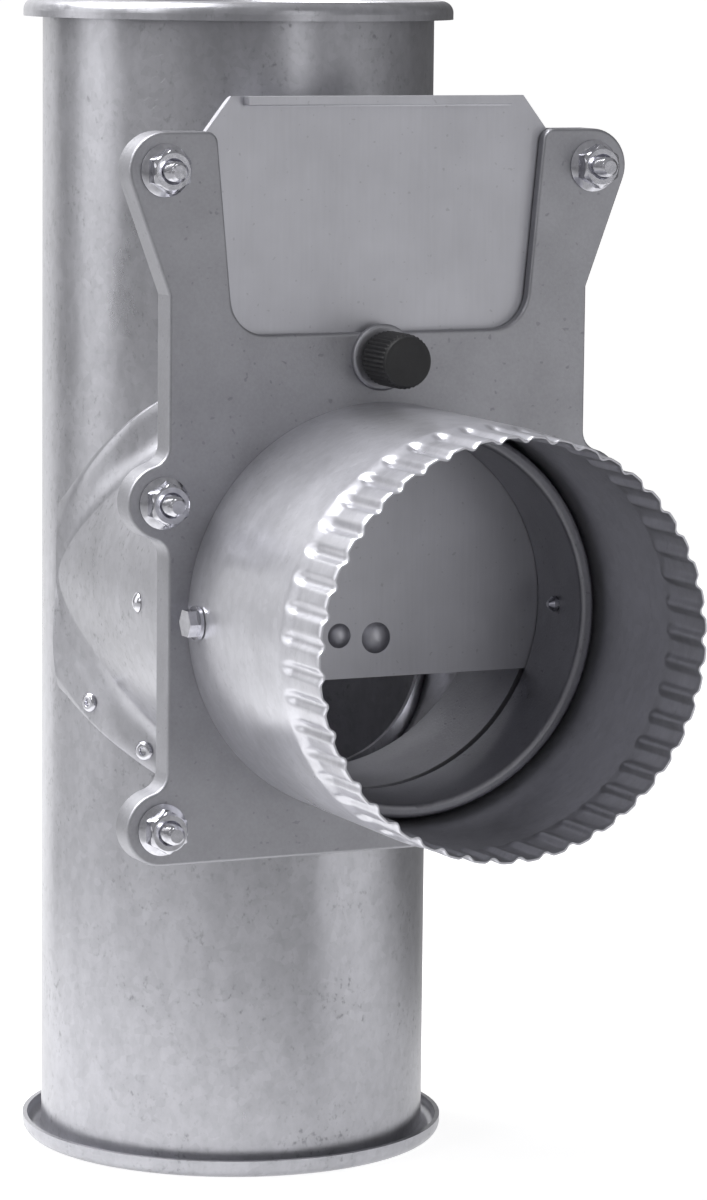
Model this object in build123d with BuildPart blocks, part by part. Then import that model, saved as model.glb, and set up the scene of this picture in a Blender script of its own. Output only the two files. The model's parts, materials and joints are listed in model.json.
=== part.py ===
from build123d import *
import os
from math import acos, atan2, cos, radians, sin, sqrt

os.makedirs("parts", exist_ok=True)

# A duct tee with a sliding blast gate in its branch.
# Origin: centre of the lower end, at the level of the rolled lip's lowest line.
# +Z runs up the main tube, and the branch points along -Y.

# Main tube
tube_od = 101.6
tube_wall = 1.2
tube_length = 300.0
lip_roll = 3.1  # outer radius of the rolled lip
lip_tail = 1.6  # straight end of the rolled sheet

# Branch axis
branch_height = 152.0
branch_hole_radius = 46.0

# Saddle tap, the short pipe that joins the gate to the main tube
tap_od = 103.0
tap_wall = 0.8
saddle_flange_width = 9.0
saddle_wall = 0.8
saddle_edge_setback = 1.5  # how far the flange stops before the tube's mid plane
seat_gap = 0.05  # between sheets that lie on each other

# Gate housing, two cast halves that meet at the parting plane
parting_distance = 86.0
web = 2.7
rail_height = 1.3
rail_width = 6.0
housing_half_width = 56.2
shoulder_height = 78.5
ear_radius = 9.2
ear_spread = 57.5
ear_heights = (108.5, 28.5, -51.5)
ear_names = ("top", "middle", "bottom")
ear_blend = 5.0
ear_pad_radius = 6.6
edge_round = 0.8
bore_radius = 45.5
front_collar_length = 21.0
rear_collar_length = 29.0
rear_collar_play = 1.7
collar_rim_round = 1.3
collar_root_round = 1.2

# Finger notch in the top of both halves
notch_floor = 68.4
notch_half_top = 44.0
notch_half_floor = 39.3
notch_corner = 9.5
notch_lead = 3.0

# Gate slide
gate_thickness = 2.0
gate_side_play = 0.4
gate_low = -17.5
gate_top = 126.0
gate_top_half = 39.3
gate_chamfer_drop = 13.5
gate_low_round = 4.0
gate_lip_reach = 3.5
gate_lip_half = 36.0
gate_bend = 1.4
dimple_height = 1.7
dimple_wall = 0.9
dimples = ((0.7, -7.7, 3.9), (-9.3, -6.7, 3.1))  # x, z, radius

# Crimped sleeve
sleeve_od = 102.6
sleeve_wall = 0.7
sleeve_length = 76.0
sleeve_collar_gap = 1.6
crimp_count = 45
crimp_length = 21.0
crimp_runout = 3.0
crimp_depth = 1.5
crimp_step_in = 0.9
# Turning points of one crimp: share of the pitch, share of the depth
crimp_profile = ((-0.07, 1), (0.07, 1), (0.21, 0.4), (0.38, 0.05), (0.62, 0.05), (0.79, 0.4))

# Fasteners
bolt_radius = 2.4
bolt_hole_radius = 2.6
bolt_head_flats = 8.7
bolt_head_height = 3.4
bolt_end_beyond_nut = 4.2
bolt_end_chamfer = 0.7
nut_flange_radius = 6.4
nut_flange_height = 1.3
nut_flats = 9.5
nut_height = 5.2
hex_corner_chamfer = 0.5
sleeve_screw_distance = 7.0
sleeve_screw_radius = 1.9
sleeve_screw_reach = 8.2
sleeve_screw_washer_radius = 4.2
sleeve_screw_washer_height = 0.9
sleeve_screw_flats = 6.3
sleeve_screw_head = 3.4
screw_hole_play = 0.1
rivet_radius = 1.6
rivet_head_radius = 2.5
rivet_head_height = 1.1
saddle_rivet_angles = (33.0, 47.0, 72.0)  # below the branch's level, at both sides
saddle_rivet_inset = 2.9
tap_rivet_distance = 23.5

# Thumbscrew that locks the gate
lock_height = 62.3
lock_screw_radius = 2.5
lock_thread_play = 0.1
lock_tip_gap = 0.15
lock_boss_radius = 8.2
lock_boss_height = 1.6
knob_radius = 6.8
knob_length = 12.0
knob_standoff = 0.8
knob_turn_play = 0.05
knob_flutes = 24
knob_flute_radius = 0.55
knob_face_round = 1.0
screw_in_knob = 8.0

tube_radius = tube_od / 2
tube_inner = tube_radius - tube_wall
tap_radius = tap_od / 2
tap_inner = tap_radius - tap_wall
saddle_radius = tap_radius + saddle_flange_width
half_thickness = web + rail_height
front_face = parting_distance + half_thickness
rear_face = parting_distance - half_thickness
gate_half_width = housing_half_width - rail_width - gate_side_play
gate_front = parting_distance + gate_thickness / 2
sleeve_radius = sleeve_od / 2
sleeve_inner = sleeve_radius - sleeve_wall
sleeve_end = front_face + sleeve_length
front_collar_radius = sleeve_inner - sleeve_collar_gap
rear_collar_radius = tap_inner - rear_collar_play


def branch(distance):
    """A plane square to the branch axis, this far from the main tube's axis, x = +X and y = +Z."""
    return Plane(origin=(0, -distance, branch_height), x_dir=(1, 0, 0), z_dir=(0, -1, 0))


def on_branch(x, distance, z):
    """A point given by its place beside, along and above the branch axis."""
    return (x, -distance, branch_height + z)


# Saddle rivets: their heads lie on the saddle flange, square to the main tube's wall
saddle_seat = tube_radius + seat_gap
saddle_outer = saddle_seat + saddle_wall
rivet_circle = saddle_radius - saddle_rivet_inset
rivet_hole_radius = rivet_radius + seat_gap


def saddle_rivet_plane(angle):
    """A plane on the saddle flange's outer face, its normal square to the main tube."""
    x = rivet_circle * cos(radians(angle))
    z = rivet_circle * sin(radians(angle))
    lean = x / saddle_outer
    depth = sqrt(1 - lean**2)
    origin = on_branch(x, saddle_outer * depth, z)
    return Plane(origin=origin, x_dir=(0, 0, 1), z_dir=(lean, -depth, 0))


rivet_angles = []
for angle in saddle_rivet_angles:
    rivet_angles += [180 + angle, 360 - angle]
rivet_planes = [saddle_rivet_plane(angle) for angle in rivet_angles]

# Main tube: one sheet wall with a rolled lip at each end
roll_centre = tube_inner + lip_roll
roll_inner = lip_roll - tube_wall


def rolled_lip(end, inward):
    """Lines of one lip, from the tube's inner wall over the roll to its outer wall."""
    level = end + inward * lip_roll
    tail = level + inward * lip_tail
    outer = roll_centre + lip_roll
    ThreePointArc((tube_inner, level), (roll_centre, end), (outer, level))
    Polyline((outer, level), (outer, tail), (outer - tube_wall, tail), (outer - tube_wall, level))
    top = level - inward * roll_inner
    ThreePointArc((outer - tube_wall, level), (roll_centre, top), (tube_radius, level))


with BuildPart() as main_tube:
    with BuildSketch(Plane.XZ):
        with BuildLine():
            rolled_lip(tube_length, -1)
            Line((tube_radius, tube_length - lip_roll), (tube_radius, lip_roll))
            rolled_lip(0, 1)
            Line((tube_inner, lip_roll), (tube_inner, tube_length - lip_roll))
        make_face()
    revolve(axis=Axis.Z)
    with BuildSketch(branch(0)):
        Circle(branch_hole_radius)
    extrude(amount=tube_od, mode=Mode.SUBTRACT)
    for plane in rivet_planes:
        with BuildSketch(plane):
            Circle(rivet_hole_radius)
        extrude(amount=-2 * (saddle_wall + tube_wall), mode=Mode.SUBTRACT)
main_tube.part.label = "main_tube"
export_step(main_tube.part, "parts/main_tube.step")

# Tap rivets: they hold the tap to the rear half's collar, one at each side
tap_rivet_at = rear_face - tap_rivet_distance


def side_plane(side, radius, distance):
    """A plane at the branch's left (-1) or right (+1) side, its normal pointing out."""
    return Plane(origin=on_branch(side * radius, distance, 0), x_dir=(0, 1, 0), z_dir=(side, 0, 0))


# Saddle tap: pipe with a flange that wraps half way round the main tube
with BuildPart() as saddle_tap:
    with BuildSketch(Plane.XY.offset(branch_height - saddle_radius)):
        Circle(saddle_outer)
    extrude(amount=2 * saddle_radius)
    with BuildSketch(branch(saddle_edge_setback)):
        Circle(saddle_radius)
    extrude(amount=tube_od, mode=Mode.INTERSECT)
    with BuildSketch(branch(saddle_edge_setback)):
        Circle(tap_radius)
    extrude(amount=rear_face - seat_gap - saddle_edge_setback)
    with BuildSketch(Plane.XY):
        Circle(saddle_seat)
    extrude(amount=tube_length, mode=Mode.SUBTRACT)
    with BuildSketch(branch(0)):
        Circle(tap_inner)
    extrude(amount=rear_face, mode=Mode.SUBTRACT)
    for plane in rivet_planes:
        with BuildSketch(plane):
            Circle(rivet_hole_radius)
        extrude(amount=-2 * saddle_wall, mode=Mode.SUBTRACT)
    for side in (-1, 1):
        with BuildSketch(side_plane(side, tap_radius, tap_rivet_at)):
            Circle(rivet_hole_radius)
        extrude(amount=-2 * tap_wall, mode=Mode.SUBTRACT)
saddle_tap.part.label = "saddle_tap"
export_step(saddle_tap.part, "parts/saddle_tap.step")


def rivet(plane, shank, sink):
    """A domed rivet: the head on a plane, lifted by sink, and the shank below it."""
    sphere = (rivet_head_radius**2 + rivet_head_height**2) / (2 * rivet_head_height)
    bulge = rivet_head_radius / 2
    rise = sqrt(sphere**2 - bulge**2) - (sphere - rivet_head_height)
    crown = rivet_head_height + sink
    with BuildPart() as one:
        with BuildSketch(Plane(origin=plane.origin, x_dir=plane.x_dir, z_dir=-plane.y_dir)):
            with BuildLine():
                Polyline((0, crown), (0, -shank), (rivet_radius, -shank), (rivet_radius, sink))
                Line((rivet_radius, sink), (rivet_head_radius, sink))
                ThreePointArc((rivet_head_radius, sink), (bulge, rise + sink), (0, crown))
            make_face()
        revolve(axis=Axis(plane.origin, plane.z_dir))
    return one.part


saddle_rivet_shank = saddle_wall + seat_gap + tube_wall - 2 * seat_gap
flat_head_lift = 0.1  # clears the round wall under the head's edge
with BuildPart() as saddle_rivets:
    for plane in rivet_planes:
        add(rivet(plane, saddle_rivet_shank, flat_head_lift))
saddle_rivets.part.label = "saddle_rivets"
export_step(saddle_rivets.part, "parts/saddle_rivets.step")

with BuildPart() as tap_rivets:
    for side in (-1, 1):
        seat = side_plane(side, tap_radius, tap_rivet_at)
        add(rivet(seat, tap_radius - bore_radius, flat_head_lift))
tap_rivets.part.label = "tap_rivets"
export_step(tap_rivets.part, "parts/tap_rivets.step")

# Housing outline, shared by both halves: a plate with three pairs of ears
ear_top = ear_heights[0]
ear_low = ear_heights[-1]
housing_top = ear_top + ear_radius
housing_low = ear_low - ear_radius


def taper_touch(side):
    """Where the sloping edge from the shoulder touches the top ear's circle."""
    dx = housing_half_width - ear_spread
    dz = shoulder_height - ear_top
    reach = sqrt(dx**2 + dz**2)
    turn = atan2(dz, dx) + acos(ear_radius / reach)
    return (side * (ear_spread + ear_radius * cos(turn)), ear_top + ear_radius * sin(turn))


with BuildSketch() as housing_outline:
    with Locations((0, (ear_top + ear_low) / 2)):
        Rectangle(2 * housing_half_width, ear_top - ear_low)
    for level in (ear_top + ear_radius / 2, ear_low - ear_radius / 2):
        with Locations((0, level)):
            Rectangle(2 * ear_spread, ear_radius)
    for height in ear_heights:
        with Locations((-ear_spread, height), (ear_spread, height)):
            Circle(ear_radius)
    for side in (-1, 1):
        shoulder = (side * housing_half_width, shoulder_height)
        inner = side * (housing_half_width - ear_radius)
        with BuildLine():
            Polyline(
                shoulder,
                taper_touch(side),
                (side * ear_spread, ear_top),
                (inner, ear_top),
                (inner, shoulder_height),
                close=True,
            )
        make_face()
    inner_corners = housing_outline.vertices().filter_by(
        lambda v: abs(abs(v.X) - housing_half_width) < 0.01 and v.Y < ear_heights[1] + 2 * ear_radius
    )
    fillet(inner_corners, radius=ear_blend)
    with BuildLine():
        slope = (notch_half_top - notch_half_floor) / (housing_top - notch_floor)
        over = notch_half_top + slope * ear_radius
        Polyline(
            (-notch_half_floor, notch_floor),
            (notch_half_floor, notch_floor),
            (over, housing_top + ear_radius),
            (-over, housing_top + ear_radius),
            close=True,
        )
    make_face(mode=Mode.SUBTRACT)
    floor_corners = housing_outline.vertices().filter_by(lambda v: abs(v.Y - notch_floor) < 0.01)
    fillet(floor_corners, radius=notch_corner)
    lead_corners = housing_outline.vertices().filter_by(
        lambda v: abs(v.Y - housing_top) < 0.01 and abs(v.X) < notch_half_top + 0.5
    )
    fillet(lead_corners, radius=notch_lead)

# Rails: they close the slot at the sides and below, and pads keep the top ears apart
slot_half_width = housing_half_width - rail_width
slot_floor = housing_low + rail_width
with BuildSketch() as rail_outline:
    add(housing_outline.sketch)
    with Locations((0, slot_floor)):
        Rectangle(
            2 * slot_half_width,
            2 * (housing_top - slot_floor),
            align=(Align.CENTER, Align.MIN),
            mode=Mode.SUBTRACT,
        )
    with Locations((0, shoulder_height)):
        Rectangle(
            4 * ear_spread,
            2 * (housing_top - shoulder_height),
            align=(Align.CENTER, Align.MIN),
            mode=Mode.SUBTRACT,
        )
    with Locations((-ear_spread, ear_top), (ear_spread, ear_top)):
        Circle(ear_pad_radius)

bolt_places = [(side * ear_spread, height) for height in ear_heights for side in (-1, 1)]


def cast_half(toward, radius, length, root_round=0):
    """One half with its collar and bores; toward is +1 for the front half, -1 for the rear."""
    face = parting_distance + toward * half_thickness
    end = face + toward * length
    with BuildPart() as half:
        with BuildSketch(branch(parting_distance + toward * rail_height)):
            add(housing_outline.sketch)
        extrude(amount=toward * web)
        face_edges = half.faces().filter_by(lambda f: abs(f.center().Y + face) < 0.01).edges()
        fillet(face_edges, radius=edge_round)
        with BuildSketch(branch(parting_distance)):
            add(rail_outline.sketch)
        extrude(amount=toward * rail_height)
        with BuildSketch(branch(parting_distance)):
            with Locations(*bolt_places):
                Circle(bolt_hole_radius)
        extrude(amount=toward * 2 * half_thickness, mode=Mode.SUBTRACT)
        with BuildSketch(branch(face)):
            Circle(radius)
        extrude(amount=toward * length)
        if root_round:
            root = half.edges().filter_by(
                lambda e: e.geom_type == GeomType.CIRCLE
                and abs(e.radius - radius) < 0.01
                and abs(e.center().Y + face) < 0.01
            )
            fillet(root, radius=root_round)
        with BuildSketch(branch(parting_distance)):
            Circle(bore_radius)
        extrude(amount=toward * (half_thickness + length), mode=Mode.SUBTRACT)
        rim = half.edges().filter_by(lambda e: abs(e.center().Y + end) < 0.01)
        fillet(rim, radius=collar_rim_round)
    return half.part


sleeve_screw_at = front_face + sleeve_screw_distance
screw_hole_radius = sleeve_screw_radius + screw_hole_play

with BuildPart() as front_gate_half:
    add(cast_half(1, front_collar_radius, front_collar_length, collar_root_round))
    with BuildSketch(branch(front_face)):
        with Locations((0, lock_height)):
            Circle(lock_boss_radius)
    extrude(amount=lock_boss_height)
    boss_face = front_gate_half.faces().filter_by(
        lambda f: abs(f.center().Y + front_face + lock_boss_height) < 0.01
    )
    fillet(boss_face.edges(), radius=edge_round)
    with BuildSketch(branch(parting_distance)):
        with Locations((0, lock_height)):
            Circle(lock_screw_radius + lock_thread_play)
    extrude(amount=3 * half_thickness, mode=Mode.SUBTRACT)
    for side in (-1, 1):
        with BuildSketch(side_plane(side, front_collar_radius + 1, sleeve_screw_at)):
            Circle(screw_hole_radius)
        extrude(amount=-(front_collar_radius + 2 - bore_radius), mode=Mode.SUBTRACT)
front_gate_half.part.label = "front_gate_half"
export_step(front_gate_half.part, "parts/front_gate_half.step")

with BuildPart() as rear_gate_half:
    add(cast_half(-1, rear_collar_radius, rear_collar_length))
    for side in (-1, 1):
        with BuildSketch(side_plane(side, rear_collar_radius + 1, tap_rivet_at)):
            Circle(rivet_hole_radius)
        extrude(amount=-(rear_collar_radius + 2 - bore_radius), mode=Mode.SUBTRACT)
rear_gate_half.part.label = "rear_gate_half"
export_step(rear_gate_half.part, "parts/rear_gate_half.step")

# Gate slide: a flat blade with a bent top lip and two pressed stop dimples


def dome(x, z, radius, face):
    """A round dome that rises from a face of the gate along the branch."""
    sphere = (radius**2 + dimple_height**2) / (2 * dimple_height)
    mid_rise = sqrt(sphere**2 - (radius / 2) ** 2) - (sphere - dimple_height)
    foot = on_branch(x, face, z)
    with BuildPart() as one:
        with BuildSketch(Plane(origin=foot, x_dir=(1, 0, 0), z_dir=(0, 0, -1))):
            with BuildLine():
                Polyline((0, dimple_height), (0, 0), (radius, 0))
                ThreePointArc((radius, 0), (radius / 2, mid_rise), (0, dimple_height))
            make_face()
        revolve(axis=Axis(foot, (0, 1, 0)))
    return one.part


with BuildPart() as gate_slide:
    with BuildSketch(branch(gate_front - gate_thickness)) as blade:
        with BuildLine():
            Polyline(
                (-gate_half_width, gate_low),
                (gate_half_width, gate_low),
                (gate_half_width, gate_top - gate_chamfer_drop),
                (gate_top_half, gate_top),
                (-gate_top_half, gate_top),
                (-gate_half_width, gate_top - gate_chamfer_drop),
                close=True,
            )
        make_face()
        fillet(blade.vertices().group_by(Axis.Y)[0], radius=gate_low_round)
    extrude(amount=gate_thickness)
    with BuildSketch(branch(gate_front)):
        with Locations((0, gate_top)):
            Rectangle(2 * gate_lip_half, gate_thickness, align=(Align.CENTER, Align.MAX))
    extrude(amount=gate_lip_reach)
    bend_inside = edges().filter_by(Axis.X).filter_by(
        lambda e: abs(e.center().Y + gate_front) < 0.01
        and abs(e.center().Z - branch_height - gate_top + gate_thickness) < 0.01
    )
    fillet(bend_inside, radius=gate_bend / 2)
    bend_outside = edges().filter_by(Axis.X).filter_by(
        lambda e: abs(e.center().Y + gate_front - gate_thickness) < 0.01
        and abs(e.center().Z - branch_height - gate_top) < 0.01
    )
    fillet(bend_outside, radius=gate_bend)
    for x, z, radius in dimples:
        add(dome(x, z, radius, gate_front))
        add(dome(x, z, radius - dimple_wall, gate_front - gate_thickness), mode=Mode.SUBTRACT)
gate_slide.part.label = "gate_slide"
export_step(gate_slide.part, "parts/gate_slide.step")

# Crimped sleeve: a plain pipe whose end is gathered into a ring of rounded crimps
crimp_pitch = 360 / crimp_count
crimp_start = sleeve_end - crimp_length
crimp_peak = sleeve_radius - crimp_step_in


def crimp_ring(peak, depth):
    """A closed ring with one broad peak and one narrow valley for each crimp."""
    points = []
    for index in range(crimp_count):
        for turn, share in crimp_profile:
            angle = (index + turn) * crimp_pitch
            points.append(Vector(peak - depth * share, 0).rotate(Axis.Z, angle))
    with BuildSketch() as ring:
        with BuildLine():
            Polyline(*points, close=True)
        make_face()
    return ring.sketch


sleeve_start = front_face + seat_gap
crimp_full = crimp_start + crimp_runout
crimp_inner = crimp_peak - sleeve_wall
outer_rings = (
    (sleeve_start, sleeve_radius, 0),
    (crimp_start, sleeve_radius, 0),
    (crimp_full, crimp_peak, crimp_depth),
    (sleeve_end, crimp_peak, crimp_depth),
)
inner_rings = (
    (sleeve_start - sleeve_wall, sleeve_inner, 0),
    (crimp_start, sleeve_inner, 0),
    (crimp_full, crimp_inner, crimp_depth),
    (sleeve_end + sleeve_wall, crimp_inner, crimp_depth),
)

with BuildPart() as crimped_sleeve:
    for distance, peak, depth in outer_rings:
        with BuildSketch(branch(distance)):
            add(crimp_ring(peak, depth))
    loft(ruled=True)
    for distance, peak, depth in inner_rings:
        with BuildSketch(branch(distance)):
            add(crimp_ring(peak, depth))
    loft(ruled=True, mode=Mode.SUBTRACT)
    for side in (-1, 1):
        with BuildSketch(side_plane(side, sleeve_radius, sleeve_screw_at)):
            Circle(screw_hole_radius)
        extrude(amount=-2 * sleeve_wall, mode=Mode.SUBTRACT)
crimped_sleeve.part.label = "crimped_sleeve"
export_step(crimped_sleeve.part, "parts/crimped_sleeve.step")

# Sleeve screws: hex washer heads, tips inside the collar
screw_seat = sleeve_radius + flat_head_lift
for side, name in ((-1, "left"), (1, "right")):
    seat = side_plane(side, screw_seat, sleeve_screw_at)
    with BuildPart() as sleeve_screw:
        with BuildSketch(seat):
            Circle(sleeve_screw_washer_radius)
        extrude(amount=sleeve_screw_washer_height)
        with BuildSketch(seat.offset(sleeve_screw_washer_height)):
            RegularPolygon(sleeve_screw_flats / 2, 6, major_radius=False)
        extrude(amount=sleeve_screw_head - sleeve_screw_washer_height)
        with BuildSketch(seat):
            Circle(sleeve_screw_radius)
        extrude(amount=-sleeve_screw_reach)
        tip = sleeve_screw.faces().sort_by(Axis.X)[0 if side > 0 else -1]
        chamfer(tip.edges(), length=sleeve_screw_radius * 0.6)
    label = f"sleeve_screw_{name}"
    sleeve_screw.part.label = label
    export_step(sleeve_screw.part, f"parts/{label}.step")

# Housing bolts and their flange nuts, one pair at each ear
bolt_end = front_face + nut_height + bolt_end_beyond_nut


def hexagon(place, seat, flats, height):
    """A hexagon that stands on a seat, with the corners of its far end chamfered."""
    with BuildPart() as one:
        with BuildSketch(branch(seat)):
            with Locations(place):
                Circle(flats / sqrt(3))
        extrude(amount=height)
        far = one.faces().filter_by(lambda f: abs(f.center().Y + seat + height) < 0.01)
        chamfer(far.edges(), length=hex_corner_chamfer)
        with BuildSketch(branch(seat)):
            with Locations(place):
                RegularPolygon(flats / 2, 6, major_radius=False)
        extrude(amount=height, mode=Mode.INTERSECT)
    return one.part


for height, row in zip(ear_heights, ear_names):
    for side, hand in ((-1, "left"), (1, "right")):
        place = (side * ear_spread, height)
        with BuildPart() as bolt:
            add(hexagon(place, rear_face, bolt_head_flats, -bolt_head_height))
            with BuildSketch(branch(rear_face)):
                with Locations(place):
                    Circle(bolt_radius)
            extrude(amount=bolt_end - rear_face)
            chamfer(bolt.faces().sort_by(Axis.Y)[0].edges(), length=bolt_end_chamfer)
        label = f"bolt_{row}_{hand}"
        bolt.part.label = label
        export_step(bolt.part, f"parts/{label}.step")

        with BuildPart() as nut:
            add(hexagon(place, front_face, nut_flats, nut_height))
            with BuildSketch(branch(front_face)):
                with Locations(place):
                    Circle(nut_flange_radius)
            extrude(amount=nut_flange_height)
            with BuildSketch(branch(front_face)):
                with Locations(place):
                    Circle(bolt_radius)
            extrude(amount=nut_height, mode=Mode.SUBTRACT)
        label = f"nut_{row}_{hand}"
        nut.part.label = label
        export_step(nut.part, f"parts/{label}.step")

# Lock screw: a stud whose tip bears on the gate, and the fluted knob on its end
knob_base = front_face + lock_boss_height + knob_standoff
with BuildPart() as lock_screw:
    with BuildSketch(branch(gate_front + lock_tip_gap)):
        with Locations((0, lock_height)):
            Circle(lock_screw_radius)
    extrude(amount=knob_base + screw_in_knob - gate_front - lock_tip_gap)
    chamfer(lock_screw.faces().sort_by(Axis.Y)[-1].edges(), length=bolt_end_chamfer)
lock_screw.part.label = "lock_screw"
export_step(lock_screw.part, "parts/lock_screw.step")

with BuildPart() as lock_knob:
    with BuildSketch(branch(knob_base)):
        with Locations((0, lock_height)):
            Circle(knob_radius)
            with PolarLocations(knob_radius, knob_flutes):
                Circle(knob_flute_radius, mode=Mode.SUBTRACT)
    extrude(amount=knob_length)
    with BuildSketch(branch(knob_base + knob_length)):
        with Locations((0, lock_height)):
            Circle(knob_radius - knob_flute_radius)
    extrude(amount=knob_face_round)
    fillet(lock_knob.faces().sort_by(Axis.Y)[0].edges(), radius=knob_face_round * 0.9)
    with BuildSketch(branch(knob_base)):
        with Locations((0, lock_height)):
            Circle(lock_screw_radius + knob_turn_play)
    extrude(amount=screw_in_knob + lock_tip_gap, mode=Mode.SUBTRACT)
lock_knob.part.label = "lock_knob"
export_step(lock_knob.part, "parts/lock_knob.step")
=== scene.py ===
# %% [markdown]
# This script dresses a duct tee with a blast gate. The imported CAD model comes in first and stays
# where it is, because every measurement of the part belongs to it. All lengths here are metres.

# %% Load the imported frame
import bpy
import json
from math import acos, atan2, cos, degrees, pi, radians, sin, sqrt
from mathutils import Matrix, Vector


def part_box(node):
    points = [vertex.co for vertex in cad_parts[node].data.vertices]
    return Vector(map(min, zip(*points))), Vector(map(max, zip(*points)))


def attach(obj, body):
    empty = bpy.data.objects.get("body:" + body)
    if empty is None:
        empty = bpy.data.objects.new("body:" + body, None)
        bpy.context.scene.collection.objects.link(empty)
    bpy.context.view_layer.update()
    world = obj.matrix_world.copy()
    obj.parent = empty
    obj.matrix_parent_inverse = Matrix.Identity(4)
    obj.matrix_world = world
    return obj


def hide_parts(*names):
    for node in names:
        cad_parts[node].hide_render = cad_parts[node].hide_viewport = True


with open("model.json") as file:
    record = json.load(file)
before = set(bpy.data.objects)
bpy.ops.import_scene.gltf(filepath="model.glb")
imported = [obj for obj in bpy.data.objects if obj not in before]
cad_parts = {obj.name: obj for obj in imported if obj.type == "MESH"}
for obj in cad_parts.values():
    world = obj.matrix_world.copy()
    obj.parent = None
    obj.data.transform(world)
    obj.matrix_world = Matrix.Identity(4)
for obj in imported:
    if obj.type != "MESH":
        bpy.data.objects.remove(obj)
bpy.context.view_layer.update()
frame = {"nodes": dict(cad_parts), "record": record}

nodes = frame["nodes"]
scene = bpy.context.scene
scene.view_settings.view_transform = "Standard"
mm = 0.001
print("CAD nodes:", len(nodes))

# %% [markdown]
# The camera stands where the photograph was taken from: a long lens, a little above the branch, and
# round to the left of it. A long lens keeps the perspective mild. The camera's axes are written as
# three directions, the plainest way to hold a solved view: right, up, and back to the lens.

# %% Camera
view_yaw = radians(24.74)
view_pitch = radians(7.87)
view_roll = radians(0.60)
view_distance = 1262.72 * mm
view_slide = (31.32 * mm, -7.44 * mm)
lens_in_pixels = 4785.0
picture_height = 1200

level_back = Vector((-sin(view_yaw), -cos(view_yaw), 0))
back = level_back * cos(view_pitch) + Vector((0, 0, sin(view_pitch)))
level_right = Vector((cos(view_yaw), -sin(view_yaw), 0))
level_up = back.cross(level_right)
right = level_right * cos(view_roll) + level_up * sin(view_roll)
up = level_up * cos(view_roll) - level_right * sin(view_roll)
middle = Vector((0, 0, 150 * mm)) + right * view_slide[0] + up * view_slide[1]

lens = bpy.data.cameras.new("long_lens")
lens.sensor_fit = "VERTICAL"
lens.sensor_height = 36
lens.lens = lens_in_pixels / picture_height * 36
lens.clip_start = 0.05
lens.clip_end = 20
camera = bpy.data.objects.new("camera", lens)
turn = Matrix((right, up, back)).transposed()
camera.matrix_world = Matrix.Translation(middle + back * view_distance) @ turn.to_4x4()
scene.collection.objects.link(camera)
scene.camera = camera
print("camera at", [round(c, 3) for c in camera.matrix_world.translation])

# %% [markdown]
# Finishes are written as sums. A socket of the shader nodes is wrapped in a small class, so that
# `0.4 + 0.2 * mask` adds the Math nodes that it says. One method makes every other node.

# %% Shader arithmetic
class Wire:
    """One socket of a finish, with Python's operators on it."""

    def __init__(self, tree, socket=None):
        self.tree = tree
        self.socket = socket

    def node(self, kind, settings=None, sockets=None, output=0):
        """Make a node, set it up, join its sockets, and wrap one of its outputs."""
        made = self.tree.nodes.new(kind)
        for name, value in (settings or {}).items():
            if name == "stops":
                for spare in list(made.color_ramp.elements)[1:]:
                    made.color_ramp.elements.remove(spare)
                made.color_ramp.elements[0].position = value[0][0]
                made.color_ramp.elements[0].color = value[0][1]
                for place, colour in value[1:]:
                    made.color_ramp.elements.new(place).color = colour
            else:
                setattr(made, name, value)
        for name, value in (sockets or {}).items():
            if isinstance(value, Wire):
                self.tree.links.new(value.socket, made.inputs[name])
            else:
                made.inputs[name].default_value = value
        return Wire(self.tree, made.outputs[output])

    def maths(self, operation, first, second=0.0, limit=False):
        settings = {"operation": operation, "use_clamp": limit}
        return self.node("ShaderNodeMath", settings, {0: first, 1: second})

    def __add__(self, other):
        return self.maths("ADD", self, other)

    def __sub__(self, other):
        return self.maths("SUBTRACT", self, other)

    def __rsub__(self, other):
        return self.maths("SUBTRACT", other, self)

    def __mul__(self, other):
        return self.maths("MULTIPLY", self, other)

    def limited(self):
        return self.maths("ADD", self, 0.0, limit=True)

    def root(self):
        return self.maths("SQRT", self)

    def ramp(self, low, high):
        """0 below low, 1 above high, and a smooth rise between them."""
        settings = {"interpolation_type": "SMOOTHSTEP"}
        sockets = {"Value": self, "From Min": low, "From Max": high}
        return self.node("ShaderNodeMapRange", settings, sockets)

    def noise(self, size, detail=2.0, stretch=(1, 1, 1), rough=0.5):
        """Cloudy values between 0 and 1, with lumps of about this size in metres."""
        place = self.node("ShaderNodeMapping", {}, {"Vector": self, "Scale": stretch})
        sockets = {"Vector": place, "Scale": 1 / size, "Detail": detail, "Roughness": rough}
        return self.node("ShaderNodeTexNoise", {}, sockets)

    def crystals(self, size):
        """A random value for each crystal of about this size in metres."""
        sockets = {"Vector": self, "Scale": 1 / size}
        colour = self.node("ShaderNodeTexVoronoi", {}, sockets, "Color")
        return self.node("ShaderNodeSeparateColor", {}, {0: colour})

    def blend(self, low, high):
        """A colour between two others, by this wire's value."""
        return self.node("ShaderNodeMix", {"data_type": "RGBA"}, {0: self, 6: low, 7: high}, 2)

    def bump(self, height):
        """A normal that follows this wire's value, height metres from 0 to 1."""
        return self.node("ShaderNodeBump", {}, {"Height": self, "Distance": height, "Strength": 1})


Wire.__radd__ = Wire.__add__
Wire.__rmul__ = Wire.__mul__


def grey(level, blue=1.07):
    """A cool grey with this brightness."""
    return (level, level, level * blue, 1)


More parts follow.
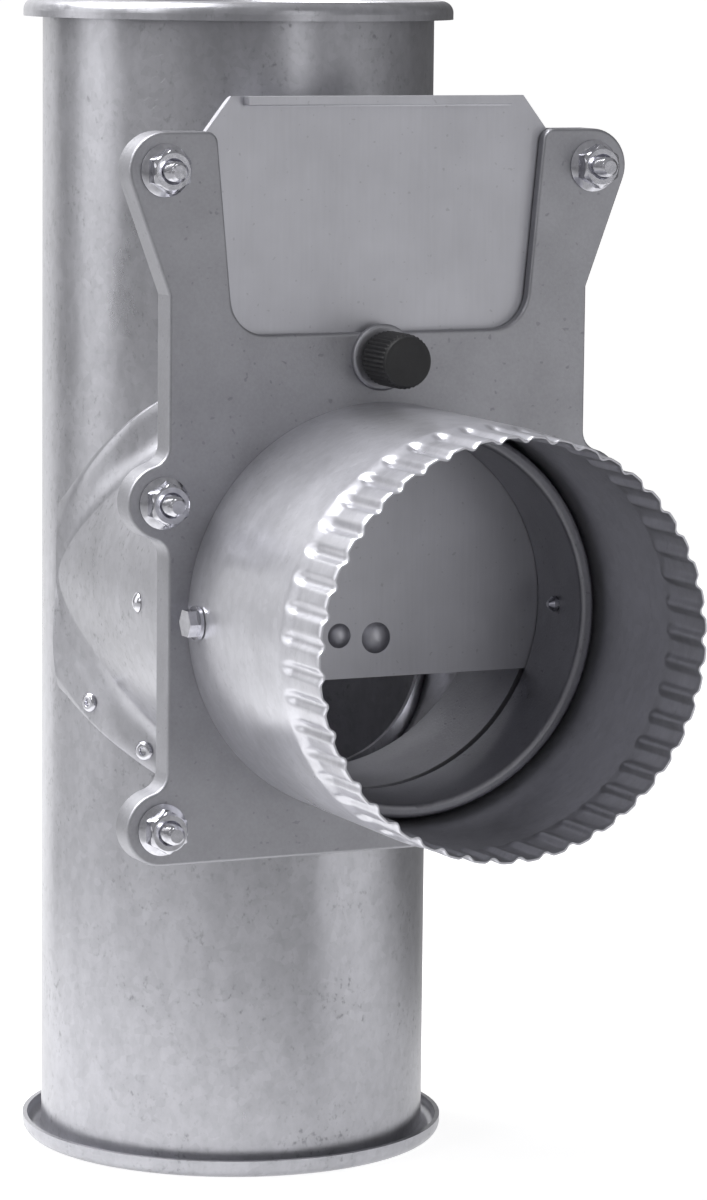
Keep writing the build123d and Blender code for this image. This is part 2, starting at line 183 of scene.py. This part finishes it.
class Finish:
    """A material with its shader and the places on the part."""

    def __init__(self, name, metallic, roughness, colour):
        self.material = bpy.data.materials.new(name)
        self.material.use_nodes = True
        self.tree = self.material.node_tree
        self.shader = self.tree.nodes["Principled BSDF"]
        self.shader.inputs["Metallic"].default_value = metallic
        self.shader.inputs["Roughness"].default_value = roughness
        self.shader.inputs["Base Color"].default_value = colour
        self.place = Wire(self.tree).node("ShaderNodeTexCoord", {}, {}, "Object")

    def feed(self, **wires):
        """Join wires to the shader; base_color stands for Base Color."""
        for name, wire in wires.items():
            target = self.shader.inputs[name.replace("_", " ").title()]
            self.tree.links.new(wire.socket, target)


print("shader arithmetic ready")

# %% [markdown]
# Hot-dip galvanised sheet has dim zinc crystals, a cloudy dull bloom over them, and tiny dark pits
# that come in patches. One colour value carries all three, and the bloom also makes the sheet
# rougher, so that the highlights break up softly. The crystals are kept faint: at arm's length they
# read as mottling. The sleeve's sheet is cleaner than the tube's and paler. Part of that paleness
# is
# painted highlight: the whole sheet is lightened to stand in for the light on its upper left.

# %% Galvanised sheet
def galvanised(name, dark, light, roughness, speck_strength=1.0):
    """Zinc-coated sheet between two brightnesses; sizes of its marks are in metres."""
    finish = Finish(name, 0.75, roughness, grey(light))
    bloom = finish.place.noise(0.020, 4, (1, 1, 0.40), 0.6)
    cloud = finish.place.noise(0.0040, 4, (1, 1, 0.6), 0.65)
    flake = finish.place.crystals(0.0022)
    pits = finish.place.noise(0.0014, 2, (1, 1, 0.8), 0.6).ramp(0.54, 0.78)
    patches = finish.place.noise(0.014, 3).ramp(0.44, 0.66)
    specks = pits * (0.2 + 0.8 * patches) * (0.55 * speck_strength)
    tone = bloom * 0.65 + cloud * 0.50 + flake * 0.14 - 0.14
    tone = (tone - specks).limited()
    finish.feed(
        base_color=tone.blend(grey(dark), grey(light)),
        roughness=(roughness - 0.07) + bloom * 0.14 + specks * 0.25,
        normal=(cloud * 0.7 + flake * 0.3).bump(0.00003),
    )
    return finish.material


tube_zinc = galvanised("tube_galvanised", 0.30, 0.60, 0.30)
# painted highlight: the sleeve's lighter grey is partly its own paler zinc and partly lightened to
# stand in for light on its upper left
sleeve_zinc_with_painted_highlight = galvanised("sleeve_galvanised_with_painted_highlight", 0.48, 0.81, 0.30, 0.5)
print("galvanised finishes:", tube_zinc.name, sleeve_zinc_with_painted_highlight.name)

# %% [markdown]
# The gate's two halves are castings that were bead blasted: an even, dull grey with a very fine
# grain and a few small pits. The gate blade is plain sheet, a touch smoother and rubbed lengthwise
# by its travel.

# %% Casting and gate blade
def casting(name, dark, light):
    """A blasted casting: cloudy, with fine grain and shallow pits."""
    finish = Finish(name, 1.0, 0.5, grey(light))
    grain = finish.place.noise(0.0007, 2)
    cloud = finish.place.noise(0.016, 3)
    pits = finish.place.noise(0.0016, 1).ramp(0.70, 0.76)
    tone = (cloud * 0.9 + grain * 0.35 - 0.12 - pits * 0.2).limited()
    finish.feed(
        base_color=tone.blend(grey(dark), grey(light)),
        roughness=0.44 + cloud * 0.12 + pits * 0.1,
        normal=(grain - pits * 0.6).bump(0.00005),
    )
    return finish.material


def rubbed_sheet(name, dark, light):
    """Plain sheet with upright rubbing marks."""
    finish = Finish(name, 1.0, 0.42, grey(light))
    rub = finish.place.noise(0.0010, 2, (1, 1, 0.06))
    cloud = finish.place.noise(0.018, 3)
    pits = finish.place.noise(0.0014, 1).ramp(0.70, 0.77)
    tone = (cloud * 0.8 + rub * 0.3 - 0.05 - pits * 0.4).limited()
    finish.feed(
        base_color=tone.blend(grey(dark), grey(light)),
        roughness=0.36 + rub * 0.12 + cloud * 0.06,
        normal=rub.bump(0.00003),
    )
    return finish.material


cast_grey = casting("cast_aluminium", 0.285, 0.475)
blade_grey = rubbed_sheet("gate_blade_sheet", 0.43, 0.65)
print("castings and blade:", cast_grey.name, blade_grey.name)

# %% [markdown]
# Screws, nuts and rivets are bright zinc plate, close to a mirror, with faint tool marks. The knob
# is moulded black plastic, dull and finely grained.

# %% Hardware and knob
def plated(name, dark, light):
    """Bright plating, slightly worn."""
    finish = Finish(name, 1.0, 0.18, grey(light))
    wear = finish.place.noise(0.0016, 3)
    finish.feed(
        base_color=wear.blend(grey(dark), grey(light)),
        roughness=0.12 + wear * 0.12,
        normal=wear.bump(0.000008),
    )
    return finish.material


def moulded(name, dark, light):
    """Moulded plastic with a little dust and a fine grain."""
    finish = Finish(name, 0.0, 0.5, grey(light))
    dust = finish.place.noise(0.002, 3)
    finish.feed(
        base_color=dust.blend(grey(dark), grey(light)),
        roughness=0.42 + dust * 0.2,
        normal=finish.place.noise(0.0004, 1).bump(0.00003),
    )
    return finish.material


bright_zinc = plated("bright_zinc_plate", 0.46, 0.80)
knob_black = moulded("knob_black", 0.012, 0.03)
print("hardware and knob:", bright_zinc.name, knob_black.name)

# %% [markdown]
# Every CAD node that keeps its own shape gets its finish here, by the slot that the record names.

# %% Finish the CAD nodes
finish_of_slot = {
    "galvanised_steel": tube_zinc,
    "gate_steel": blade_grey,
    "cast_aluminium": cast_grey,
    "zinc_hardware": bright_zinc,
    "black_plastic": knob_black,
}
for part in frame["record"]["subparts"]:
    node = nodes[part["node"]]
    node.data.materials.clear()
    node.data.materials.append(finish_of_slot[part["material_slot"]])
print("finished", len(nodes), "CAD nodes")

# %% [markdown]
# Most pieces made here are turned round an axis: a pipe, a screw, a knob. Such a surface is a row
# of rings with the same number of points, joined by four-sided faces. A pipe with a wall closes on
# itself, and a solid piece is capped at both ends.
# Edges sharper than an angle stay crisp, and gentler ones are shaded smooth.

# %% Meshes from rings
crisp_edge = radians(32)


def ring_faces(rings, hollow, first):
    """Faces between rings whose points are numbered from first."""
    count = len(rings[0])
    last = first + (len(rings) - 1) * count
    starts = [first + i * count for i in range(len(rings))]
    pairs = list(zip(starts, starts[1:])) + ([(last, first)] if hollow else [])
    faces = []
    for a, b in pairs:
        faces += [(a + k, a + (k + 1) % count, b + (k + 1) % count, b + k) for k in range(count)]
    if not hollow:
        faces += [tuple(reversed(range(first, first + count))), tuple(range(last, last + count))]
    return faces


def ring_mesh(name, bodies_of_rings, hollow, finish, body="tee_body"):
    """A smooth mesh through rings of points; hollow joins a body's last ring to its first one."""
    points = []
    faces = []
    for rings in bodies_of_rings:
        faces += ring_faces(rings, hollow, len(points))
        points += [point for ring in rings for point in ring]
    mesh = bpy.data.meshes.new(name)
    mesh.from_pydata(points, [], faces)
    mesh.validate()
    piece = bpy.data.objects.new(name, mesh)
    scene.collection.objects.link(piece)
    mesh.materials.append(finish)
    bpy.context.view_layer.objects.active = piece
    piece.select_set(True)
    bpy.ops.object.mode_set(mode="EDIT")
    bpy.ops.mesh.select_all(action="SELECT")
    bpy.ops.mesh.normals_make_consistent(inside=False)
    bpy.ops.object.mode_set(mode="OBJECT")
    bpy.ops.object.shade_smooth_by_angle(angle=crisp_edge)
    piece.select_set(False)
    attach(piece, body)
    return piece


sleeve_low, sleeve_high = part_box("crimped_sleeve")
branch_height = (sleeve_low.z + sleeve_high.z) / 2


def out_on_branch(x, distance, z):
    """A point beside, along and above the branch's axis, in millimetres."""
    return Vector((x * mm, -distance * mm, branch_height + z * mm))


def ring_round(x, z, distance, sides, reach):
    """A ring about an axis that runs along the branch; reach gives its radius at an angle."""
    angles = [2 * pi * k / sides for k in range(sides)]
    return [out_on_branch(x + reach(a) * cos(a), distance, z + reach(a) * sin(a)) for a in angles]


def place_of(name):
    """A CAD node's middle, beside and above the branch's axis, and its box, in millimetres."""
    low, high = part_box(name)
    x = (low.x + high.x) / 2 / mm
    z = ((low.z + high.z) / 2 - branch_height) / mm
    return x, z, low / mm, high / mm


def smooth_step(value):
    """0 below 0, 1 above 1, and a smooth rise between them."""
    value = min(max(value, 0), 1)
    return value * value * (3 - 2 * value)


print("ring meshes ready")

# %% [markdown]
# The sleeve's end is gathered by a crimping tool: each stroke presses a narrow groove and leaves a
# broad crest, and the grooves begin as rounded fingers. The wall is one sheet, so the inside
# repeats the outside, one wall's thickness further in. The pipe is also a touch out of round toward
# its end, as thin sheet is.

# %% Crimped sleeve
sleeve_radius = (sleeve_high.x - sleeve_low.x) / 2 / mm
sleeve_start = -sleeve_high.y / mm
sleeve_end = -sleeve_low.y / mm
sleeve_wall = 0.7
crimps = 45
crimp_length = 21.0
crimp_depth = 1.0
crimp_step_in = 0.7
samples_per_crimp = 14
crimp_start = sleeve_end - crimp_length
sleeve_play = 0.12
out_of_round = 0.12
finger_length = 4.5
gather_length = 7.0
groove_half = 0.30
crest_crown = 0.10


def crimp_drop(turn, distance):
    """How far the sheet is pressed in, at a share of a crimp's turn and a distance out."""
    along = distance - crimp_start
    from_groove = min(turn, 1 - turn)
    start = 0.2 + 3.4 * min(from_groove / 0.34, 1) ** 2
    finger = smooth_step((along - start) / finger_length)
    groove = 1 - smooth_step((from_groove - 0.03) / (groove_half - 0.03))
    crown = crest_crown * (0.5 + 0.5 * cos(2 * pi * turn))
    deeper = 0.72 + 0.28 * min(max(along / crimp_length, 0), 1)
    step_in = crimp_step_in * smooth_step(along / gather_length)
    return step_in + crimp_depth * (groove + crown) * finger * deeper


def sleeve_ring(distance, inset):
    """The sleeve's outline at a distance along the branch, this far in from its skin."""
    ring = []
    count = crimps * samples_per_crimp
    for k in range(count):
        angle = 2 * pi * k / count
        turn = (k / samples_per_crimp) % 1
        uneven = out_of_round * sin(2 * angle + 0.7) * smooth_step((distance - sleeve_start) / 40)
        reach = sleeve_radius - sleeve_play - inset - crimp_drop(turn, distance) + uneven
        ring.append(out_on_branch(reach * cos(angle), distance, reach * sin(angle)))
    return ring


rim_round = 0.15
stations = [sleeve_start, sleeve_start + 1, sleeve_start + 20, crimp_start - 8, crimp_start - 1]
stations += [crimp_start + 0.4 * i for i in range(20)]
stations += [crimp_start + 8.4 + 1.7 * i for i in range(7)]
stations += [sleeve_end - 0.25]
rings = [sleeve_ring(d, 0) for d in stations]
rings += [sleeve_ring(sleeve_end, d) for d in (rim_round, sleeve_wall - rim_round)]
rings += [sleeve_ring(d, sleeve_wall) for d in reversed(stations)]
sleeve = ring_mesh("crimped_sleeve_pipe", [rings], True, sleeve_zinc_with_painted_highlight)
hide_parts("crimped_sleeve")
print("sleeve faces:", len(sleeve.data.polygons))

# %% [markdown]
# The bolts' ends stand out of the nuts, so their threads are seen. A thread is drawn here as rings
# whose radius goes up and down with the turn and the distance, which makes a true helix in one
# skin. The hexagon head and the plain shank are part of the same piece, as on the real bolt.

# %% Threaded bolts
thread_pitch = 0.8
thread_root = 2.02
thread_crest = 2.45
ring_step = 0.1
shank_radius = 2.4
shank_length = 8.0
bolt_seat = 82.0
bolt_flats = 8.7


def thread_radius(angle, distance, end):
    """A V-shaped thread that runs out in a chamfer at the bolt's end."""
    phase = (distance / thread_pitch + angle / (2 * pi)) % 1
    wave = 1 - abs(2 * phase - 1)
    reach = thread_root + (thread_crest - thread_root) * min(max(1.25 * wave - 0.1, 0), 1)
    return min(reach, thread_root - 0.35 + (end - distance))


def hexagon_reach(angle, flats, corner):
    """Distance to a hexagon's side, cut off at its corner circle."""
    folded = (angle + pi / 6) % (pi / 3) - pi / 6
    return min(flats / 2 / cos(folded), corner)


def bolt_rings(x, z, head, end):
    """Rings of a bolt: its head behind the seat, the shank, and the thread up to its end."""
    corner = bolt_flats / sqrt(3)

    def ring(distance, reach):
        return ring_round(x, z, distance, 48, reach)

    def hexagon(limit, share=1.0):
        return lambda a: hexagon_reach(a, bolt_flats, limit) * share

    rings = [
        ring(bolt_seat - head, hexagon(corner, 0.86)),
        ring(bolt_seat - head + 0.02, hexagon(corner * 0.93)),
        ring(bolt_seat - head + 0.5, hexagon(corner)),
        ring(bolt_seat, hexagon(corner)),
        ring(bolt_seat, lambda a: shank_radius),
        ring(bolt_seat + shank_length, lambda a: shank_radius),
    ]
    thread_start = bolt_seat + shank_length + 0.2
    steps = int((end - thread_start) / ring_step)
    for i in range(steps + 1):
        distance = thread_start + i * (end - thread_start) / steps
        rings.append(ring(distance, lambda a, d=distance: thread_radius(a, d, end)))
    return rings


for name in nodes:
    if name.startswith("bolt_"):
        x, z, low, high = place_of(name)
        rings = bolt_rings(x, z, bolt_seat + high.y, -low.y)
        bolt = ring_mesh("threaded_" + name, [rings], False, bright_zinc)
        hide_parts(name)
print("bolts threaded")

# %% [markdown]
# The two castings meet in full-size pads at the top ears and along the tapered sides below them, so
# no gap shows there. A pad follows the ear's circle and the taper down to the shoulder, and it is
# cut off straight beside the blade, so that the blade slides past it.

# %% Ear pads
ear_radius = 9.19
shoulder = (56.2, 78.5)
pad_inner_side = 50.6
pad_faces = (84.72, 87.28)
pad_steps = 40


def pad_rings(x, z):
    """Two outlines of a pad, in front of and behind the blade's plane."""
    reach, rise = shoulder[0] - abs(x), shoulder[1] - z
    first = atan2(rise, reach) + acos(ear_radius / sqrt(reach * reach + rise * rise))
    last = acos((pad_inner_side - abs(x)) / ear_radius)
    turns = [first + (last - first) * k / pad_steps for k in range(pad_steps + 1)]
    outline = [(abs(x) + ear_radius * cos(t), z + ear_radius * sin(t)) for t in turns]
    outline += [(pad_inner_side, shoulder[1]), shoulder]
    if x < 0:
        outline = [(-u, v) for u, v in reversed(outline)]
    return [[out_on_branch(u, distance, v) for u, v in outline] for distance in pad_faces]


pads = [pad_rings(*place_of("nut_top_" + side)[:2]) for side in ("left", "right")]
ring_mesh("top_ear_pads", pads, False, cast_grey)
print("pads made:", len(pads))

# %% [markdown]
# The nuts are flange nuts: a hexagon whose corners are turned to a cone, standing on a round flange
# that slopes to a thin rim. In front, the hole has a countersink, which shows as a dark ring round
# the bolt. The nut is a hollow body of rings, like a pipe, and the bolt passes through it.

# %% Flange nuts
nut_flats = 9.5
nut_flange_rise = 1.3
nut_hole = 2.42


def nut_rings(x, z, seat, front, flange):
    """Rings of a nut, from the hole round the flange and the hexagon back into the hole."""
    corner = nut_flats / sqrt(3)

    def ring(distance, reach):
        return ring_round(x, z, distance, 72, reach)

    def hexagon(limit):
        return lambda a: hexagon_reach(a, nut_flats, limit)

    def circle(radius):
        return lambda a: radius

    return [
        ring(seat, circle(nut_hole)),
        ring(seat, circle(flange - 0.15)),
        ring(seat + 0.15, circle(flange)),
        ring(seat + 0.45, circle(flange)),
        ring(seat + 0.60, circle(flange - 0.15)),
        ring(seat + nut_flange_rise, hexagon(corner + 0.25)),
        ring(front - 1.1, hexagon(corner)),
        ring(front - 0.7, hexagon(corner - 0.12)),
        ring(front - 0.25, hexagon(corner - 0.75)),
        ring(front, circle(nut_flats / 2 - 0.35)),
        ring(front, circle(nut_hole + 0.75)),
        ring(front - 0.7, circle(nut_hole)),
    ]


for name in nodes:
    if name.startswith("nut_"):
        x, z, low, high = place_of(name)
        rings = nut_rings(x, z, -high.y, -low.y, (high.x - low.x) / 2)
        nut = ring_mesh("flange_" + name, [rings], True, bright_zinc)
        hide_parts(name)
print("nuts made")

# %% [markdown]
# The saddle tap is one sheet. On the real fitting its foot is flared in a small radius, follows the
# tube as a flange, and narrows to nothing at the tube's sides, where tap and tube run into each
# other. It is drawn as rings round the branch's axis, each ring laid on the tube or on the pipe.

# %% Saddle tap
tube_radius = 50.8
saddle_sheet = 0.8
tap_radius = 51.5
saddle_back = 3.0
upper_flange = (8.5, 55)
lower_flange = (8.9, 42)
root_flare = 3.6
saddle_sides = 240
skin_gap = 0.06


def foot_length(root):
    """How far the flare reaches up the pipe."""
    return 0.4 + 1.3 * (root - tap_radius)


def flange_edge(angle):
    """The flange's outer radius: it grows from nothing at the tube's sides, faster below."""
    width, full_by = upper_flange if sin(angle) > 0 else lower_flange
    from_side = degrees(atan2(abs(sin(angle)), abs(cos(angle))))
    return tap_radius + 0.15 + width * smooth_step(from_side / full_by)


def on_tube(radius, angle, lift):
    """A point above the tube's skin, at this radius and angle from the branch's axis."""
    x = radius * cos(angle)
    depth = max((tube_radius + lift) ** 2 - x * x, 0)
    return x, -sqrt(depth + saddle_back**2), radius * sin(angle)


def saddle_ring(make_point):
    """A ring round the branch's axis, from a rule for its point at an angle."""
    ring = []
    for k in range(saddle_sides):
        angle = 2 * pi * k / saddle_sides
        edge = flange_edge(angle)
        root = tap_radius + root_flare * smooth_step((edge - tap_radius) / 6)
        x, y, z = make_point(angle, edge, root)
        ring.append(Vector((x * mm, y * mm, branch_height + z * mm)))
    return ring


def flare_point(share):
    """A point on the flared foot, from the flange at 0 to the pipe at 1."""

    def make_point(angle, edge, root):
        start = on_tube(root, angle, saddle_sheet)
        corner = on_tube(tap_radius, angle, saddle_sheet)
        finish = (corner[0], corner[1] - foot_length(root), corner[2])
        a, b, c = (1 - share) ** 2, 2 * share * (1 - share), share**2
        return tuple(a * p + b * q + c * r for p, q, r in zip(start, corner, finish))

    return make_point


def pipe_point(radius, share):
    """A point on the tap's straight pipe, from its foot at 0 to its end at 1."""

    def make_point(angle, edge, root):
        foot = on_tube(radius, angle, saddle_sheet)
        start = foot[1] - foot_length(root)
        return radius * cos(angle), start + (tap_end - start) * share, radius * sin(angle)

    return make_point


tap_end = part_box("saddle_tap")[0].y / mm
rings = [
    saddle_ring(lambda angle, edge, root: on_tube(edge, angle, skin_gap)),
    saddle_ring(lambda angle, edge, root: on_tube(edge, angle, saddle_sheet - 0.15)),
    saddle_ring(lambda angle, edge, root: on_tube(edge - 0.15, angle, saddle_sheet)),
    saddle_ring(lambda angle, edge, root: on_tube((edge + root) / 2, angle, saddle_sheet)),
]
rings += [saddle_ring(flare_point(i / 8)) for i in range(8)]
rings += [saddle_ring(pipe_point(tap_radius, share)) for share in (0, 0.3, 0.6, 0.9, 1)]
inside = tap_radius - saddle_sheet
rings += [saddle_ring(pipe_point(inside, share)) for share in (1, 0.5, 0)]
rings += [saddle_ring(lambda angle, edge, root: on_tube(inside, angle, skin_gap))]
tap = ring_mesh("flared_saddle_tap", [rings], True, tube_zinc)
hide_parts("saddle_tap")
print("saddle faces:", len(tap.data.polygons))

# %% [markdown]
# The flange is held by pop rivets. A pop rivet keeps a small dark hole in the middle of its head,
# where its pulling pin broke off. All six heads are one mesh, because the model keeps them in one
# node.

# %% Pop rivets
rivet_circle = 57.6
rivet_turns = (33, 47, 72)
rivet_profile = [(1.6, -1.6), (1.6, -0.1), (2.5, 0.0), (2.5, 0.25), (2.3, 0.6), (1.9, 0.85)]
rivet_profile += [(1.4, 0.95), (1.05, 0.9), (0.9, 0.7), (0.85, 0.2), (0.3, 0.1)]
rivet_sides = 24


def rivet_rings(foot, out):
    """Rings of a rivet's head round its own axis, from the skin outwards."""
    side = out.cross(Vector((0, 0, 1))).normalized()
    upward = side.cross(out)
    rings = []
    for radius, height in rivet_profile:
        ring = []
        for k in range(rivet_sides):
            angle = 2 * pi * k / rivet_sides
            spoke = side * cos(angle) + upward * sin(angle)
            ring.append(foot + out * height * mm + spoke * radius * mm)
        rings.append(ring)
    return rings


rivets = []
for hand in (-1, 1):
    for turn in rivet_turns:
        x, y, z = on_tube(rivet_circle, -radians(turn), saddle_sheet)
        foot = Vector((hand * x * mm, y * mm, branch_height + z * mm))
        rivets.append(rivet_rings(foot, Vector((hand * x, y, 0)).normalized()))
pop_rivets = ring_mesh("pop_rivets", rivets, False, bright_zinc)
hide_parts("saddle_rivets")
print("rivet faces:", len(pop_rivets.data.polygons))

# %% [markdown]
# The knob is a small moulding with fine ridges round its side and a plain, slightly hollow face.
# The ridges stop short of the face, where the moulding narrows to a rim.

# %% Lock knob
knob_x, knob_z, knob_low, knob_high = place_of("lock_knob")
knob_radius = (knob_high.z - knob_low.z) / 2
knob_base = -knob_high.y
knob_end = -knob_low.y
ridges = 36


def knob_ring(distance, radius, ridge=0.0):
    """A ring of the knob, with ridges this deep."""

    def reach(angle):
        return radius - ridge * (0.5 - 0.5 * cos(ridges * angle))

    return ring_round(knob_x, knob_z, distance, ridges * 6, reach)


rings = [
    knob_ring(knob_base, knob_radius * 0.45),
    knob_ring(knob_base, knob_radius - 0.9),
    knob_ring(knob_base + 0.2, knob_radius - 0.45, 0.1),
    knob_ring(knob_base + 0.9, knob_radius, 0.45),
    knob_ring(knob_end - 1.9, knob_radius, 0.45),
    knob_ring(knob_end - 1.3, knob_radius - 0.15, 0.35),
    knob_ring(knob_end - 1.1, knob_radius - 0.4, 0.1),
    knob_ring(knob_end - 0.5, knob_radius - 0.5),
    knob_ring(knob_end - 0.12, knob_radius - 0.75),
    knob_ring(knob_end, knob_radius - 1.2),
    knob_ring(knob_end - 0.15, knob_radius - 1.8),
    knob_ring(knob_end - 0.45, knob_radius * 0.4),
    knob_ring(knob_end - 0.5, knob_radius * 0.05),
]
knob = ring_mesh("ridged_lock_knob", [rings], False, knob_black, "lock_knob_body")
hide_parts("lock_knob")
print("knob faces:", len(knob.data.polygons))

# %% [markdown]
# The floor and the backdrop are one sheet that curves up behind the part and faces the camera.
# Camera rays see it lifted to white, so that lift doesn't change how the part is lit, and it still
# takes a soft shadow. Mirror reflections see a painted glow on two parts of it, standing in for the
# studio's lit table and wall. The glow on the table close to the part is a painted reflection that
# makes the tube's foot pale. The glow on the wall behind it is a painted reflection that draws the
# bright line down the tube's left edge. On the right the sheet is painted darker for mirror
# reflections, a painted dark reflection on the tube's right side.

# %% Floor and backdrop, with painted reflections
table_edge = 3.0
half_width = 4.5
bend_start = 2.0
bend_radius = 1.0
wall_top = 4.5
clearance = 0.0002


def sweep_sheet():
    """A table that curves up into a wall behind the part."""
    profile = [(-table_edge, 0.0)]
    for i in range(13):
        angle = pi / 24 * i
        profile.append((bend_start + bend_radius * sin(angle), bend_radius * (1 - cos(angle))))
    profile.append((bend_start + bend_radius, wall_top))
    points = [(x, y, z - clearance) for x in (-half_width, half_width) for y, z in profile]
    count = len(profile)
    faces = [(i, i + 1, count + i + 1, count + i) for i in range(count - 1)]
    mesh = bpy.data.meshes.new("studio_sweep")
    mesh.from_pydata(points, [], faces)
    sheet = bpy.data.objects.new("studio_sweep", mesh)
    sheet.rotation_euler = (0, 0, -view_yaw)
    scene.collection.objects.link(sheet)
    for face in mesh.polygons:
        face.use_smooth = True
    return sheet


sweep = sweep_sheet()
paper = bpy.data.materials.new("white_paper_with_painted_reflections")
paper.use_nodes = True
paper.node_tree.nodes.clear()
start = Wire(paper.node_tree)
seen_by_camera = start.node("ShaderNodeLightPath", {}, {}, "Is Camera Ray")
seen_in_mirror = start.node("ShaderNodeLightPath", {}, {}, "Is Glossy Ray")
seen_through = start.node("ShaderNodeLightPath", {}, {}, "Is Transmission Ray")
spot = start.node("ShaderNodeTexCoord", {}, {}, "Object")
from_left = start.node("ShaderNodeSeparateXYZ", {}, {0: spot}, "X")
from_front = start.node("ShaderNodeSeparateXYZ", {}, {0: spot}, "Y")
from_foot = from_left + 0.06
distance = (from_foot * from_foot + from_front * from_front).root()
# painted reflections: only glossy rays see the sheet glow near the part's foot and on the wall
# behind it
painted_reflection_near_part = 1 - distance.ramp(0.14, 0.34)
painted_reflection_behind_part = (from_front + from_left * 0.84).ramp(-0.02, 0.06)
# painted dark reflection: the sheet's right side is darker where glossy rays see it
painted_dark_reflection_right = from_left.ramp(-0.20, 0.25) * from_front.ramp(-0.05, 0.20)
painted_reflection_glow = seen_in_mirror * (painted_reflection_near_part + painted_reflection_behind_part).limited() * (1 - 0.9 * painted_dark_reflection_right)
# camera rays see an even white lift; glossy rays add the painted reflection glow
lift = (seen_by_camera + painted_reflection_glow + seen_through).limited() * 0.85
# paper grey, darkened to a painted dark reflection where glossy rays see the right side
shade = (seen_in_mirror * painted_dark_reflection_right).blend(grey(0.45, 1.0), grey(0.12, 1.0))
flat = start.node("ShaderNodeBsdfDiffuse", {}, {"Color": shade})
glow = start.node("ShaderNodeEmission", {}, {"Color": (1, 1, 1, 1), "Strength": lift})
both = start.node("ShaderNodeAddShader", {}, {0: flat, 1: glow})
paper_end = paper.node_tree.nodes.new("ShaderNodeOutputMaterial")
paper.node_tree.links.new(both.socket, paper_end.inputs["Surface"])
sweep.data.materials.append(paper)
print("sweep faces:", len(sweep.data.polygons))

# %% [markdown]
# Metal shows its surroundings, so the lamps are placed by the bands they leave on the tube. A wide
# lamp on the far left gives the pale left flank, two upright strips give the narrow bands on either
# side of the middle, and one high on the left lights the upper sides of the sleeve and the tap. The
# room itself is dim and even.

# %% Lamps and room
lamp_target = Vector((0, -0.05, 0.15))


def soft_lamp(name, turn, distance, height, size, power):
    """A lamp that looks at the part, from this many degrees to the right of the camera."""
    lamp = bpy.data.lights.new(name, "AREA")
    lamp.shape = "RECTANGLE"
    lamp.size, lamp.size_y = size
    lamp.energy = power
    holder = bpy.data.objects.new(name, lamp)
    bearing = radians(turn) - view_yaw
    place = Vector((distance * sin(bearing), -distance * cos(bearing), height))
    holder.location = place
    aim = lamp_target - place
    holder.rotation_euler = aim.to_track_quat("-Z", "Y").to_euler()
    scene.collection.objects.link(holder)


soft_lamp("left_wide_lamp", -88, 1.5, 0.60, (0.8, 1.6), 5.2)
soft_lamp("left_strip_lamp", -50, 1.4, 0.95, (0.35, 1.0), 3.0)
soft_lamp("right_strip_lamp", 36, 1.4, 0.50, (0.28, 1.3), 1.7)
soft_lamp("top_lamp", -95, 0.6, 1.20, (0.9, 0.9), 23.0)

room = bpy.data.worlds.new("dim_room")
scene.world = room
room.use_nodes = True
room.node_tree.nodes["Background"].inputs["Color"].default_value = (0.98, 0.98, 1.0, 1)
room.node_tree.nodes["Background"].inputs["Strength"].default_value = 0.30
